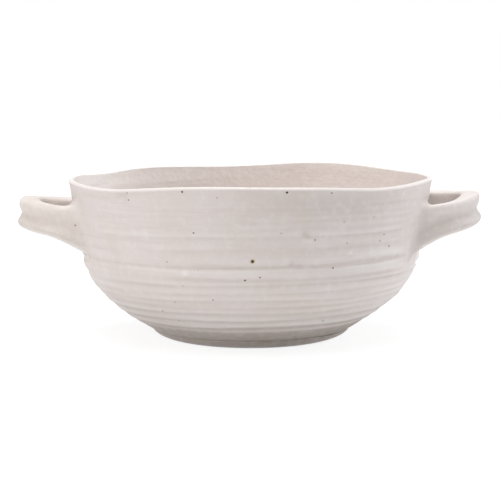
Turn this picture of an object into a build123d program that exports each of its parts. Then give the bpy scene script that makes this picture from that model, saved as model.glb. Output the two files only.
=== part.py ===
from build123d import *
from math import acos, cos, degrees, hypot, pi, radians, sin, sqrt
import os

# A wheel-thrown stoneware soup bowl with two strap handles, luted together from eight pieces of clay.
# Millimetres. The origin is on the table under the middle of the bowl and +Z is up.
# The handles lie along X, and the front of the bowl faces -Y.

# Bowl: a steep conical wall over a shoulder, and a round belly below it that falls in to the foot
rim_radius = 85.0
bowl_height = 76.0
shoulder_radius = 78.8
shoulder_height = 40.0
haunch_height = 20.0
belly_power = 2.15
wall_thickness = 4.6
rim_thickness = 3.0
floor_thickness = 6.0
floor_flat_radius = 32.0

# Throwing rings: shallow grooves round the belly, the deepest of them at the shoulder
ring_pitch = 7.0
ring_depth = 0.5
ring_band = 28.0
points_per_ring = 4

# Lip: it dips a little at both sides and more at the two front corners, and leans up at the rear right
side_dip = 1.0
corner_dip = 2.0
rear_lean = 0.9
lip_round_share = 0.4
lip_margin = 15.0
lip_grid = 10
lip_degree = 6
lip_tolerance = 0.00001

# Foot: a low ring with a rolled outer edge, set in a little from the belly
foot_height = 5.0
foot_join_radius = 46.5
foot_step = 0.6
foot_contact_radius = 33.5
foot_inner_radius = 28.0
foot_flare = 0.35

# Straps: the loop's size in plan, and the strap's section at its tip and at its two roots
handle_reach = 24.3
loop_half_width = 29.0
strap_thickness = 8.0
strap_height = 14.6
root_thickness = 10.0
root_height = 21.0
root_flare_power = 10.0
strap_edge_round = 3.0
finger_groove = 0.9
lower_ridge = 0.8
face_crown = 0.6
strap_sections = 13

# Depth of each strap's top edge below the lip, at its tip and at its front and rear roots
left_tip_drop = 9.7
left_front_drop = 11.7
left_rear_drop = 11.7
right_tip_drop = 7.9
right_front_drop = 12.1
right_rear_drop = 9.6

# Luting: soft clay pressed round each root, thick at the wall and smoothed out along the strap
luting_width = 3.2
luting_edge = 0.4
luting_reach = 5.0
luting_sections = 4
root_embedding = 1.0

# Derived sizes
floor_top = foot_height + floor_thickness
wall_slope = (rim_radius - shoulder_radius) / (bowl_height - shoulder_height)
wall_top = bowl_height + rear_lean + rim_thickness
lip_round = lip_round_share * rim_thickness
strap_tip = rim_radius + handle_reach - lower_ridge - strap_thickness / 2


def wall_radius(height):
    """Outer radius of the smooth wall: a straight cone, drawn in below the shoulder by a power law."""
    cone = shoulder_radius + wall_slope * (height - shoulder_height)
    cone_at_foot = shoulder_radius + wall_slope * (foot_height - shoulder_height)
    depth = max(0.0, (shoulder_height - height) / (shoulder_height - foot_height))
    return cone - (cone_at_foot - foot_join_radius) * depth**belly_power


def ring_groove(height):
    """Depth of the throwing rings: a cosine wave that fades out away from the shoulder."""
    distance = height - shoulder_height
    fade = max(0.0, 1 - abs(distance) / ring_band)
    return ring_depth * fade * (1 + cos(2 * pi * distance / ring_pitch)) / 2


def inner_point(height):
    """Point of the inner wall, square to the outer wall, which thins from the shoulder up to the lip."""
    thinning = max(0.0, (height - shoulder_height) / (bowl_height - shoulder_height))
    thickness = wall_thickness + (rim_thickness - wall_thickness) * thinning
    step = ring_pitch / points_per_ring
    run = wall_radius(height + step) - wall_radius(height - step)
    rise = 2 * step
    length = hypot(run, rise)
    return wall_radius(height) - thickness * rise / length, height + thickness * run / length


def lip_height(x, y):
    """Height of the wavy lip above a point of the table."""
    side = (x / rim_radius) ** 2
    diagonal = 2 * x * y / rim_radius**2
    front = (1 - y / rim_radius) / 2
    return bowl_height - side_dip * side - corner_dip * diagonal**2 * front + rear_lean * diagonal * (1 - front)


# Outer wall, from the foot to above the lip
wall_steps = round(points_per_ring * (wall_top - foot_height) / ring_pitch)
wall_heights = [foot_height + (wall_top - foot_height) * step / wall_steps for step in range(wall_steps + 1)]
wall_points = [(wall_radius(height) - ring_groove(height), height) for height in wall_heights]

# Solid of the whole bowl without its hollow, which trims what is luted onto the wall
with BuildPart() as bowl_envelope:
    with BuildSketch(Plane.XZ):
        with BuildLine():
            Polyline((0, wall_top), (0, foot_height), (foot_join_radius, foot_height))
            Spline(wall_points)
            Line(wall_points[-1], (0, wall_top))
        make_face()
    revolve(axis=Axis.Z)

# Surface of the wavy lip, wider than the bowl
lip_reach = rim_radius + lip_margin
lip_steps = [lip_reach * (2 * step / lip_grid - 1) for step in range(lip_grid + 1)]
lip_surface = Face.make_surface_from_array_of_points(
    [[Vector(x, y, lip_height(x, y)) for y in lip_steps] for x in lip_steps],
    tol=lip_tolerance,
    max_deg=lip_degree,
)

with BuildPart() as bowl_body:
    with BuildSketch(Plane.XZ):
        with BuildLine():
            inner_top = (wall_radius(wall_top) - rim_thickness, wall_top)
            Polyline((0, floor_top), (0, foot_height), (foot_join_radius, foot_height))
            Spline(wall_points)
            Line(wall_points[-1], inner_top)
            Spline(
                (floor_flat_radius, floor_top),
                inner_point(haunch_height),
                inner_point(shoulder_height),
                inner_point((shoulder_height + bowl_height) / 2),
                inner_top,
                tangents=((1, 0), (wall_slope, 1)),
            )
            Line((floor_flat_radius, floor_top), (0, floor_top))
        make_face()
    revolve(axis=Axis.Z)
    extrude(lip_surface, amount=wall_top, dir=(0, 0, 1), mode=Mode.SUBTRACT)
    fillet(bowl_body.faces().sort_by(Axis.Z)[-1].edges(), radius=lip_round)
bowl_body.part.label = "bowl_body"

with BuildPart() as foot_ring:
    with BuildSketch(Plane.XZ):
        with BuildLine():
            foot_top_radius = foot_join_radius - foot_step
            Polyline(
                (foot_contact_radius, 0),
                (foot_inner_radius, 0),
                (foot_inner_radius, foot_height),
                (foot_top_radius, foot_height),
            )
            Spline(
                (foot_contact_radius, 0),
                (foot_top_radius, foot_height),
                tangents=((1, 0), (foot_flare, 1)),
            )
        make_face()
    revolve(axis=Axis.Z)
foot_ring.part.label = "foot_ring"


def root_radii(drops):
    """Wall radii at the bottom and at the top of a strap's roots and their luting."""
    bottom = bowl_height - max(drops) - root_height - luting_width
    top = bowl_height - min(drops) + luting_width
    return wall_radius(bottom), wall_radius(top)


def strap_root(drops):
    """Distance of a strap's two ends from the bowl's axis along X, at which all of both lies in the wall."""
    root_reach = loop_half_width + root_thickness / 2 + luting_width
    return sqrt(min(root_radii(drops)) ** 2 - root_reach**2) - root_embedding


def luting_turn(drops):
    """Turn of the loop at which a luting ends, its whole outline clear of the wall."""
    root = strap_root(drops)
    wall = sqrt(max(root_radii(drops)) ** 2 - loop_half_width**2)
    return degrees(acos((wall + luting_reach - root) / (strap_tip - root)))


def strap_section(side, turn, drops, grow=0.0):
    """Outline of a strap, square to its loop.

    side is 1 for the right handle and -1 for the left one, and turn runs from -90 degrees at one
    root through 0 at the tip to 90 at the other. drops are the depths of the strap's top edge below
    the lip at the tip and at the front and rear roots. grow widens the outline all round.
    """
    tip_drop, front_drop, rear_drop = drops
    lean = sin(radians(turn))
    across = cos(radians(turn))
    flare = abs(lean) ** root_flare_power

    # Size of the section: taller and thicker at the roots
    height = strap_height + (root_height - strap_height) * flare
    thickness = strap_thickness + (root_thickness - strap_thickness) * flare

    # Place of the section on the loop, a half ellipse that starts and ends inside the wall
    root = strap_root(drops)
    root_drop = rear_drop if side * turn > 0 else front_drop
    top = bowl_height - tip_drop - (root_drop - tip_drop) * lean**2
    middle = (side * (root + (strap_tip - root) * across), side * loop_half_width * lean, top - height / 2)
    along = (-side * (strap_tip - root) * lean, side * loop_half_width * across, 0)

    # Outline: rounded edges, a crowned inner face and an outer face with a groove over a proud ridge
    edge = height / 2 + grow - strap_edge_round
    inner = -thickness / 2 - grow
    outer = thickness / 2 + grow
    ridge = outer + lower_ridge * (1 - flare)
    groove = (outer + ridge) / 2 + face_crown * flare - finger_groove * (1 - flare)
    with BuildSketch(Plane(origin=middle, x_dir=(0, 0, 1), z_dir=along)) as section:
        with BuildLine():
            ThreePointArc((edge, inner), (edge + strap_edge_round, 0), (edge, outer))
            Spline((edge, outer), (0, groove), (-edge, ridge))
            ThreePointArc((-edge, ridge), (-edge - strap_edge_round, 0), (-edge, inner))
            ThreePointArc((-edge, inner), (0, inner - face_crown), (edge, inner))
        make_face()
    return section.sketch


os.makedirs("parts", exist_ok=True)
export_step(bowl_body.part, "parts/bowl_body.step")
export_step(foot_ring.part, "parts/foot_ring.step")

handle_drops = {
    "left": (-1, left_tip_drop, left_front_drop, left_rear_drop),
    "right": (1, right_tip_drop, right_front_drop, right_rear_drop),
}
strap_turns = [180 * step / (strap_sections - 1) - 90 for step in range(strap_sections)]
luting_shares = [step / (luting_sections - 1) for step in range(luting_sections)]

for name, (side, *drops) in handle_drops.items():
    with BuildPart() as handle:
        loft([strap_section(side, turn, drops) for turn in strap_turns])
        add(bowl_envelope.part, mode=Mode.SUBTRACT)
    handle.part.label = f"{name}_handle"
    export_step(handle.part, f"parts/{name}_handle.step")

    end_turn = luting_turn(drops)
    for end, direction in (("front", -side), ("rear", side)):
        with BuildPart() as luting:
            outlines = []
            for share in luting_shares:
                turn = direction * (90 + (end_turn - 90) * share)
                grow = luting_edge + (luting_width - luting_edge) * (1 - share) ** 2
                outlines.append(strap_section(side, turn, drops, grow))
            loft(outlines)
            add(bowl_envelope.part, mode=Mode.SUBTRACT)
            add(handle.part, mode=Mode.SUBTRACT)
        luting.part.label = f"{name}_{end}_luting"
        export_step(luting.part, f"parts/{name}_{end}_luting.step")
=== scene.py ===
import logging
from dataclasses import dataclass
from enum import Enum

import bpy
import numpy as np
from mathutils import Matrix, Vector


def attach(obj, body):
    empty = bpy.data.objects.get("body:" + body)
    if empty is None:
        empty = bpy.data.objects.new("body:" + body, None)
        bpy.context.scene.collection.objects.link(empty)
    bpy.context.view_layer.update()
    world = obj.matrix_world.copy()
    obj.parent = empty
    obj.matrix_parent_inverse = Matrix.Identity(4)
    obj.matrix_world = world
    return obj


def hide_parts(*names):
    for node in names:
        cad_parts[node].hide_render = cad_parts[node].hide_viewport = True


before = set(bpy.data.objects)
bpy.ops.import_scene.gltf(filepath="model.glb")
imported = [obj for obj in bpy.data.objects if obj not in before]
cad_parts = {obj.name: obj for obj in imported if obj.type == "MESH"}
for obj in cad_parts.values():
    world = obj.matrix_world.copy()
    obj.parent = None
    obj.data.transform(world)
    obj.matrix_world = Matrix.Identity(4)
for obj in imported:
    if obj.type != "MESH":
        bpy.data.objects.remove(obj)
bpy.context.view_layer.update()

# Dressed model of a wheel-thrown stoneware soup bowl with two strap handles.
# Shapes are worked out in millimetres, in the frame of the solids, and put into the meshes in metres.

MM = 0.001
FULL_TURN = 2.0 * np.pi
BODY = "root"
IMAGE_WIDTH = 500
SENSOR_WIDTH = 36.0
PLAIN_RIDGE = 0.5
NOISE_ROUGHNESS = 0.55
WHITE = (1.0, 1.0, 1.0, 1.0)
LAMP_AIM = (0.0, 0.0, 0.04)

Colour = tuple[float, float, float, float]
Socket = bpy.types.NodeSocket

log = logging.getLogger("soup_bowl")


class Side(Enum):
    """Side of the bowl that a handle is on, as the sign of X."""

    LEFT = -1
    RIGHT = 1


class End(Enum):
    """End of a handle, as the sign of Y."""

    FRONT = -1
    REAR = 1


def bell(distance: np.ndarray, width: float | np.ndarray) -> np.ndarray:
    """Bell curve e to the minus square of distance over width."""
    return np.exp(-((distance / width) ** 2))


def turn_from(middle: float, angle: np.ndarray) -> np.ndarray:
    """Turn from middle to angle the short way round, in radians: the phase of e to i times the difference."""
    return np.angle(np.exp(1j * (angle - middle)))


def bezier(share: np.ndarray, knots: tuple[float | np.ndarray, ...]) -> np.ndarray:
    """Cubic Bezier curve: the knots weighted by the cubes and products of the share gone and the share left.

    Args:
        share: Share of the way along the curve, from 0 to 1.
        knots: Values at the start, at the two handles and at the end.

    Returns:
        Values along the curve.
    """
    left = 1 - share
    weights = (left**3, 3 * share * left**2, 3 * share**2 * left, share**3)
    return sum(weight * knot for weight, knot in zip(weights, knots))


@dataclass(frozen=True)
class Step:
    """A smooth step, 3 t squared minus 2 t cubed, where t runs from 0 at start to 1 at end.

    Attributes:
        start: Value at which the step is 0.
        end: Value at which it is 1, above or below start.
    """

    start: float
    end: float

    def at(self, value: np.ndarray) -> np.ndarray:
        """Height of the step at a value, from 0 to 1."""
        share = np.clip((value - self.start) / (self.end - self.start), 0.0, 1.0)
        return share * share * (3.0 - 2.0 * share)


@dataclass(frozen=True)
class Band:
    """A bell curve of the distance from its middle.

    Attributes:
        middle: Where it is highest. Round the bowl, in degrees from +X toward +Y.
        width: Half width.
        rise: Height at its middle.
    """

    middle: float
    width: float
    rise: float = 1.0

    def at(self, value: np.ndarray) -> np.ndarray:
        """Height of the curve at a value."""
        return self.rise * bell(value - self.middle, self.width)

    def round(self, angle: np.ndarray) -> np.ndarray:
        """Height of the curve at an angle round the bowl, in radians."""
        away = np.degrees(turn_from(np.radians(self.middle), angle))
        return self.rise * bell(away, self.width)


@dataclass(frozen=True)
class Waves:
    """Slow unevenness of hand work: a sum of cosine waves, a whole number of each in a full turn.

    Attributes:
        rise: Size of the unevenness, in mm or as a share.
        seed: Seed of the waves' phases.
        turns: Most waves in one turn.
        pitch: Shortest wave up the wall, in mm.
        count: How many waves are summed.
    """

    rise: float
    seed: int
    turns: int
    pitch: float = 1.0
    count: int = 9

    def at(self, angle: np.ndarray, height: float | np.ndarray = 0.0, number: int = 0) -> np.ndarray:
        """Unevenness at places on the clay.

        Args:
            angle: Angle round the bowl or turn along a piece, in radians.
            height: Height, in mm.
            number: Number of the ring or piece, added to the seed so that each has waves of its own.

        Returns:
            A field of about minus to plus the rise, in the shape of angle and height together.
        """
        draws = np.random.default_rng(self.seed + number)
        total = np.zeros(np.broadcast(angle, height).shape)
        for _ in range(self.count):
            round_count = draws.integers(1, self.turns + 1)
            climb = draws.uniform(-1.0, 1.0) * FULL_TURN / self.pitch
            phase = draws.uniform(0.0, FULL_TURN)
            total = total + np.cos(round_count * angle + climb * height + phase)
        return self.rise * (total / np.sqrt(self.count))


@dataclass(frozen=True)
class Ring:
    """One throwing ridge round the wall.

    Attributes:
        height: Height of its crest at the front, in mm.
        width: Half width of its upper slope, in mm.
        rise: How far it stands out at the front, in mm.
        gain: Share by which it grows to the right and shrinks to the left.
    """

    height: float
    width: float
    rise: float
    gain: float


@dataclass(frozen=True)
class Swell:
    """One broad swell of the wall, or one patch of painted light, painted shade or stain on its glaze: a bell
    curve both of the angle and of the height.

    Attributes:
        angle: Place of its middle, in degrees from +X toward +Y.
        height: Height of its middle, in mm.
        span: Half width round the bowl, in degrees.
        tall: Half width up the wall, in mm.
        rise: How far a swell stands out, in mm, or how pale a patch is, below 0 for a dark one.
    """

    angle: float
    height: float
    span: float
    tall: float
    rise: float

    def at(self, angle: np.ndarray, height: np.ndarray) -> np.ndarray:
        """Size of the swell at an angle in radians and a height in mm."""
        return Band(self.angle, self.span, self.rise).round(angle) * bell(height - self.height, self.tall)


@dataclass(frozen=True)
class Mark:
    """A small mark on the front of the wall, placed by a pixel of the 500 by 500 picture.

    Attributes:
        column: Pixel column.
        row: Pixel row.
        size: Radius in mm.
        strength: Depth in mm of a dent, below 0 for a bump, or darkness from 0 to 1 of a speck.
    """

    column: float
    row: float
    size: float
    strength: float


# Throwing rings, from the lip down
RINGS = (
    Ring(66.8, 0.9, 0.10, 0.7),
    Ring(64.0, 0.9, 0.08, -0.3),
    Ring(61.3, 0.9, 0.10, 0.9),
    Ring(58.0, 1.0, 0.10, 0.5),
    Ring(54.5, 1.1, 0.22, 0.6),
    Ring(49.5, 1.5, 0.20, 0.6),
    Ring(42.8, 2.4, 0.44, 0.6),
    Ring(36.8, 2.2, 0.46, 0.9),
    Ring(33.9, 1.0, 0.34, 1.0),
    Ring(30.0, 1.1, 0.20, 0.2),
    Ring(26.7, 1.1, 0.26, 0.4),
    Ring(23.5, 0.9, 0.16, 0.8),
    Ring(20.5, 1.0, 0.30, -0.5),
    Ring(16.9, 1.1, 0.36, -0.3),
    Ring(13.0, 1.2, 0.50, -0.1),
    Ring(10.4, 0.8, 0.30, 0.0),
)

# Rises and dips of the uneven lip round the bowl, in mm
LIP_BENDS = (
    Band(-139.0, 23.0, -2.75),
    Band(-80.0, 16.0, -0.30),
    Band(-47.0, 20.0, -1.95),
    Band(180.0, 26.0, -1.3),
    Band(0.0, 22.0, -0.7),
    Band(150.0, 14.0, -1.7),
    Band(63.0, 22.0, 1.75),
    Band(100.0, 18.0, -0.55),
    Band(30.0, 14.0, -0.5),
    Band(90.0, 45.0, -0.25),
)

# Swells and hollows of the wall under the two straps
SWELLS = (
    Swell(0.0, 21.5, 45.0, 2.2, 0.50),
    Swell(0.0, 15.6, 40.0, 0.8, -0.45),
    Swell(0.0, 12.0, 50.0, 3.0, -0.70),
    Swell(0.0, 36.6, 40.0, 1.8, -0.85),
    Swell(180.0, 38.9, 35.0, 1.0, -1.00),
    Swell(180.0, 32.8, 40.0, 1.3, -0.45),
    Swell(180.0, 28.0, 40.0, 2.0, 0.25),
)

# Patches of painted light and shade on the wall's glaze, pale above 0 and dark below, and one real stain
PAINTED_LIGHT_SHADE_AND_STAIN = (
    # Painted shade inside the right handle's loop, on the front right and under the lip there
    Swell(0.0, 62.0, 15.0, 9.0, -0.45),
    Swell(-52.0, 45.0, 16.0, 22.0, -0.20),
    Swell(-62.0, 68.0, 22.0, 6.0, -0.36),
    # A real stain of the glaze at the upper front left
    Swell(-130.5, 70.8, 2.0, 2.0, -0.35),
    # Painted light under the right strap and on the right belly
    Swell(-4.0, 41.0, 14.0, 5.0, 0.45),
    Swell(-28.0, 24.0, 18.0, 7.0, 0.18),
    # Painted shade next to the foot at both front sides
    Swell(-22.0, 6.5, 28.0, 3.0, -0.35),
    Swell(-158.0, 6.5, 28.0, 3.0, -0.25),
)

# Finger dents and bumps of the front
DENTS = (
    Mark(305.0, 236.5, 1.3, 0.60),
    Mark(308.5, 238.5, 1.2, 0.50),
    Mark(292.0, 266.5, 1.4, 0.60),
    Mark(299.0, 268.0, 1.3, 0.45),
    Mark(185.0, 275.0, 1.2, -0.45),
    Mark(350.0, 254.0, 1.2, -0.45),
    Mark(127.0, 292.0, 1.1, -0.35),
)

# Iron specks of the front
IRON_SPECKS = (
    Mark(252.5, 261.5, 0.72, 1.0),
    Mark(182.0, 192.0, 0.46, 0.9),
    Mark(287.0, 192.5, 0.52, 1.0),
    Mark(127.0, 193.0, 0.60, 0.3),
    Mark(128.5, 200.0, 0.42, 0.7),
    Mark(217.0, 198.0, 0.35, 0.4),
    Mark(193.5, 233.0, 0.45, 0.8),
    Mark(245.0, 280.5, 0.48, 1.0),
    Mark(260.0, 277.5, 0.42, 0.75),
    Mark(167.0, 262.0, 0.35, 0.6),
    Mark(333.0, 268.0, 0.40, 0.8),
    Mark(380.0, 241.0, 0.40, 0.8),
    Mark(384.0, 234.5, 0.40, 0.8),
    Mark(389.0, 246.0, 0.45, 0.9),
    Mark(315.0, 240.0, 0.40, 0.7),
    Mark(347.0, 243.0, 0.40, 0.6),
    Mark(344.0, 222.0, 0.30, 0.5),
    Mark(374.0, 217.0, 0.30, 0.5),
    Mark(213.0, 300.0, 0.40, 0.6),
    Mark(175.0, 302.0, 0.40, 0.6),
    Mark(162.5, 311.0, 0.45, 0.7),
    Mark(179.0, 321.0, 0.45, 0.6),
    Mark(183.0, 286.0, 0.30, 0.5),
    Mark(323.0, 321.0, 0.45, 0.7),
    Mark(90.0, 258.0, 0.45, 0.4),
)


def sum_swells(swells: tuple[Swell, ...], angle: np.ndarray, height: np.ndarray) -> np.ndarray:
    """Sum of swells, or of patches of painted light and shade and stains, at angles in radians and
    heights in mm.
    """
    start = np.zeros(np.broadcast(angle, height).shape)
    return sum((swell.at(angle, height) for swell in swells), start)


def grid_object(
    name: str,
    points: np.ndarray,
    closed_rows: bool = False,
    poles: tuple[np.ndarray, np.ndarray] | None = None,
    fields: dict[str, np.ndarray] | None = None,
    flipped: bool = False,
    flat_from: int | None = None,
) -> bpy.types.Object:
    """Make a piece from a grid of points whose columns close into a loop.

    Face (i, j) joins rows i and i + 1 at columns j and j + 1, and faces the way of column cross row, or
    the other way if flipped.

    Args:
        name: Name of the piece.
        points: Grid of shape (rows, columns, 3), in mm.
        closed_rows: Whether the last row joins the first, as on a ring.
        poles: Points in mm that close the first and the last row with fans, where rows aren't closed.
        fields: Values from 0 to 1 on the grid's points for the finish: ridge, which is 0 where glaze gathers
        and painted shade is darkest, 1 where glaze breaks pale and painted light is palest and 0.5 on a
        plain surface, lip, which is 0 away from it and pales the lip, partly as a painted highlight,
        inner, which is above 0 inside the bowl, and wall, which is 1 where a luting runs out on the wall.
        flipped: Whether the faces are turned over.
        flat_from: Column from which the faces are a hidden back, which leaves the skin's shading alone.

    Returns:
        The object, in the scene's collection.
    """
    rows, columns = points.shape[:2]
    index = np.arange(rows * columns).reshape(rows, columns)
    if closed_rows:
        index = np.vstack([index, index[:1]])
    after = np.roll(index, -1, axis=1)
    quads = np.stack([index[:-1], after[:-1], after[1:], index[1:]], axis=-1).reshape(-1, 4)
    if flipped:
        quads = quads[:, ::-1]
    vertices = points.reshape(-1, 3)
    faces = quads.tolist()
    if poles is not None:
        first = np.full(columns, len(vertices))
        last = first + 1
        faces += np.stack([first, after[0], index[0]], axis=-1).tolist()
        faces += np.stack([index[-1], after[-1], last], axis=-1).tolist()
        vertices = np.vstack([vertices, poles[0], poles[1]])
    mesh = bpy.data.meshes.new(name)
    mesh.from_pydata((vertices * MM).tolist(), [], faces)
    smooth = np.ones(len(faces), dtype=bool)
    if flat_from is not None:
        smooth[: len(quads)] = np.tile(np.arange(columns) < flat_from, len(quads) // columns)
    mesh.polygons.foreach_set("use_smooth", smooth)
    level = np.zeros((rows, columns))
    plain = {"ridge": level + PLAIN_RIDGE, "lip": level, "inner": level, "wall": level}
    for field_name, values in {**plain, **(fields or {})}.items():
        flat = values.ravel()
        if poles is not None:
            flat = np.append(flat, [flat[0], flat[-1]])
        layer = mesh.attributes.new(field_name, "FLOAT", "POINT")
        layer.data.foreach_set("value", flat.astype(np.float32))
    mesh.update()
    piece = bpy.data.objects.new(name, mesh)
    bpy.context.scene.collection.objects.link(piece)
    return piece


def revolve_points(radius: np.ndarray, height: np.ndarray, angle: np.ndarray) -> np.ndarray:
    """Turn places about Z: x and y are the radius times the cosine and sine of the angle.

    Args:
        radius: Distance from the axis, in mm.
        height: Height, in mm.
        angle: Angle round the axis, in radians.

    Returns:
        Points in mm, in the shape of all three together.
    """
    places = np.broadcast_arrays(radius * np.cos(angle), radius * np.sin(angle), height)
    return np.stack(places, axis=-1)


def settle(piece: bpy.types.Object, node: str, finish: bpy.types.Material) -> None:
    """Put a piece in the place of a node of the solids and give it its finish.

    Args:
        piece: The dressed piece.
        node: Name of the node that it stands for.
        finish: Material that shows.
    """
    piece.data.materials.append(finish)
    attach(piece, BODY)
    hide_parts(node)
    log.info("%s: %d faces, stands for %s", piece.name, len(piece.data.polygons), node)


@dataclass
class Viewpoint:
    """The camera: it stands in front of the bowl, a little above its lip, and looks slightly down.

    Attributes:
        distance: Distance from the bowl's axis, in mm.
        height: Height above the table, in mm.
        aim: Height of the point on the axis that it looks at, in mm.
        scale: Size of a pixel at that point, in mm.
        axis_column: Pixel column of the bowl's axis.
    """

    distance: float = 684.9
    height: float = 118.6
    aim: float = 40.45
    scale: float = 0.472
    axis_column: float = 250.3

    def place(self) -> np.ndarray:
        """Place of the camera, in mm."""
        return np.array([0.0, -self.distance, self.height])

    def axes(self) -> tuple[np.ndarray, np.ndarray, np.ndarray]:
        """Directions of the camera.

        Returns:
            Unit vectors to the right, up and ahead.
        """
        ahead = np.array([0.0, self.distance, self.aim - self.height])
        ahead = ahead / np.linalg.norm(ahead)
        right = np.array([1.0, 0.0, 0.0])
        return right, np.cross(right, ahead), ahead

    def focal_pixels(self) -> float:
        """Focal length in pixels."""
        return float(np.hypot(self.distance, self.height - self.aim)) / self.scale

    def ray(self, column: float, row: float) -> np.ndarray:
        """Direction of a pixel of the picture.

        Args:
            column: Pixel column.
            row: Pixel row.

        Returns:
            Unit vector from the camera.
        """
        right, up, ahead = self.axes()
        middle = IMAGE_WIDTH / 2
        ray = ahead * self.focal_pixels() + right * (column - self.axis_column) + up * (middle - row)
        return ray / np.linalg.norm(ray)

    def build(self) -> None:
        """Make the camera and give it to the scene."""
        lens = bpy.data.cameras.new("viewpoint")
        lens.sensor_width = SENSOR_WIDTH
        lens.lens = self.focal_pixels() * SENSOR_WIDTH / IMAGE_WIDTH
        lens.shift_x = (IMAGE_WIDTH / 2 - self.axis_column) / IMAGE_WIDTH
        camera = bpy.data.objects.new("viewpoint", lens)
        camera.location = self.place() * MM
        camera.rotation_euler = Vector(self.axes()[2]).to_track_quat("-Z", "Y").to_euler()
        bpy.context.scene.collection.objects.link(camera)
        bpy.context.scene.camera = camera


@dataclass(frozen=True)
class BowlPaintedLightAndShade:
    """Painted light and shade in the colour of the glaze on the bowl, as the field ridge: below 0.5 it is
    dark and above it pale. Its dark side also holds glaze gathered under the rings and one stain.

    Attributes:
        overhang_gain: Share by which the painted shade under the rings and the painted light over them grow
            to the right and shrink to the left.
        mark_painted_light: Painted highlight on a bump and painted shade in a dent, for each mm that it
            stands out.
        foot_painted_shade: Painted shade next to the foot, at the heights of foot_step.
        belly_painted_light: Band of painted light above it.
        groove_share: Share of the field's dark range that painted shade and glaze gathered under the rings
            take up.
        low_painted_shade: Painted shade on the lowest belly, at the heights of low_step.
        side_painted_shade: More painted shade at both sides, at the heights of side_step.
        side_painted_shade_band: Band of painted shade above it at both sides.
        left_painted_light: Painted light on the inner wall at the left, for the shares of the fall in
            left_step.
        far_painted_shade: Painted shade on the inner wall at the rear right, for the shares of the fall in
            far_step.
        left_smooth: How much plainer the inside is at the left.
        lip_step: Shares of the wall's height between which the lip's paleness, partly a painted highlight,
            starts.
    """

    overhang_gain: float = 0.25
    mark_painted_light: float = 0.6
    foot_painted_shade: float = 0.3
    foot_step: Step = Step(11.0, 8.0)
    belly_painted_light: Band = Band(15.0, 4.0, 0.12)
    groove_share: float = 1.0 / 3.0
    low_painted_shade: float = 0.24
    low_step: Step = Step(19.5, 7.0)
    side_painted_shade: float = 0.08
    side_step: Step = Step(20.0, 8.0)
    side_painted_shade_band: Band = Band(17.5, 4.5, 0.16)
    left_painted_light: Band = Band(165.0, 16.0, 0.45)
    left_step: Step = Step(0.6, 0.2)
    far_painted_shade: Band = Band(68.0, 32.0, 0.10)
    far_step: Step = Step(0.04, 0.16)
    left_smooth: Band = Band(180.0, 50.0, 0.6)
    lip_step: Step = Step(0.99, 1.0)

    def wall(
        self, angle: np.ndarray, height: np.ndarray, overhang: np.ndarray, marks: np.ndarray
    ) -> np.ndarray:
        """Painted light and shade of the outer wall, with glaze gathered under its rings: a sum of its
        overhangs, marks, bands, and patches of painted light and shade and one stain.

        Args:
            angle: Angle round the bowl, in radians.
            height: Height, in mm.
            overhang: Slope of the relief by height, above 0 under a ring.
            marks: Relief of the dents and bumps, in mm.

        Returns:
            The field ridge, from 0 to 1.
        """
        rightward = np.cos(angle)
        shade = PLAIN_RIDGE - overhang * (1.0 + self.overhang_gain * rightward) + self.mark_painted_light * marks
        shade = shade - self.foot_painted_shade * self.foot_step.at(height) + self.belly_painted_light.at(height)
        shade = np.clip(shade + sum_swells(PAINTED_LIGHT_SHADE_AND_STAIN, angle, height), 0.0, 1.0)
        shade = np.where(shade < PLAIN_RIDGE, PLAIN_RIDGE + (shade - PLAIN_RIDGE) * self.groove_share, shade)
        sides = self.side_painted_shade * self.side_step.at(height) + self.side_painted_shade_band.at(height)
        low = self.low_painted_shade * self.low_step.at(height) + sides * rightward**2
        return np.clip(shade - low, 0.0, 1.0)

    def inside(self, angle: np.ndarray, fall: np.ndarray) -> np.ndarray:
        """Painted light at the left and painted shade at the rear right of the inner wall, at an angle in
        radians and a share of the way down from the lip.
        """
        pale = self.left_painted_light.round(angle) * self.left_step.at(fall)
        return PLAIN_RIDGE + pale - self.far_painted_shade.round(angle) * self.far_step.at(fall)


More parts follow.
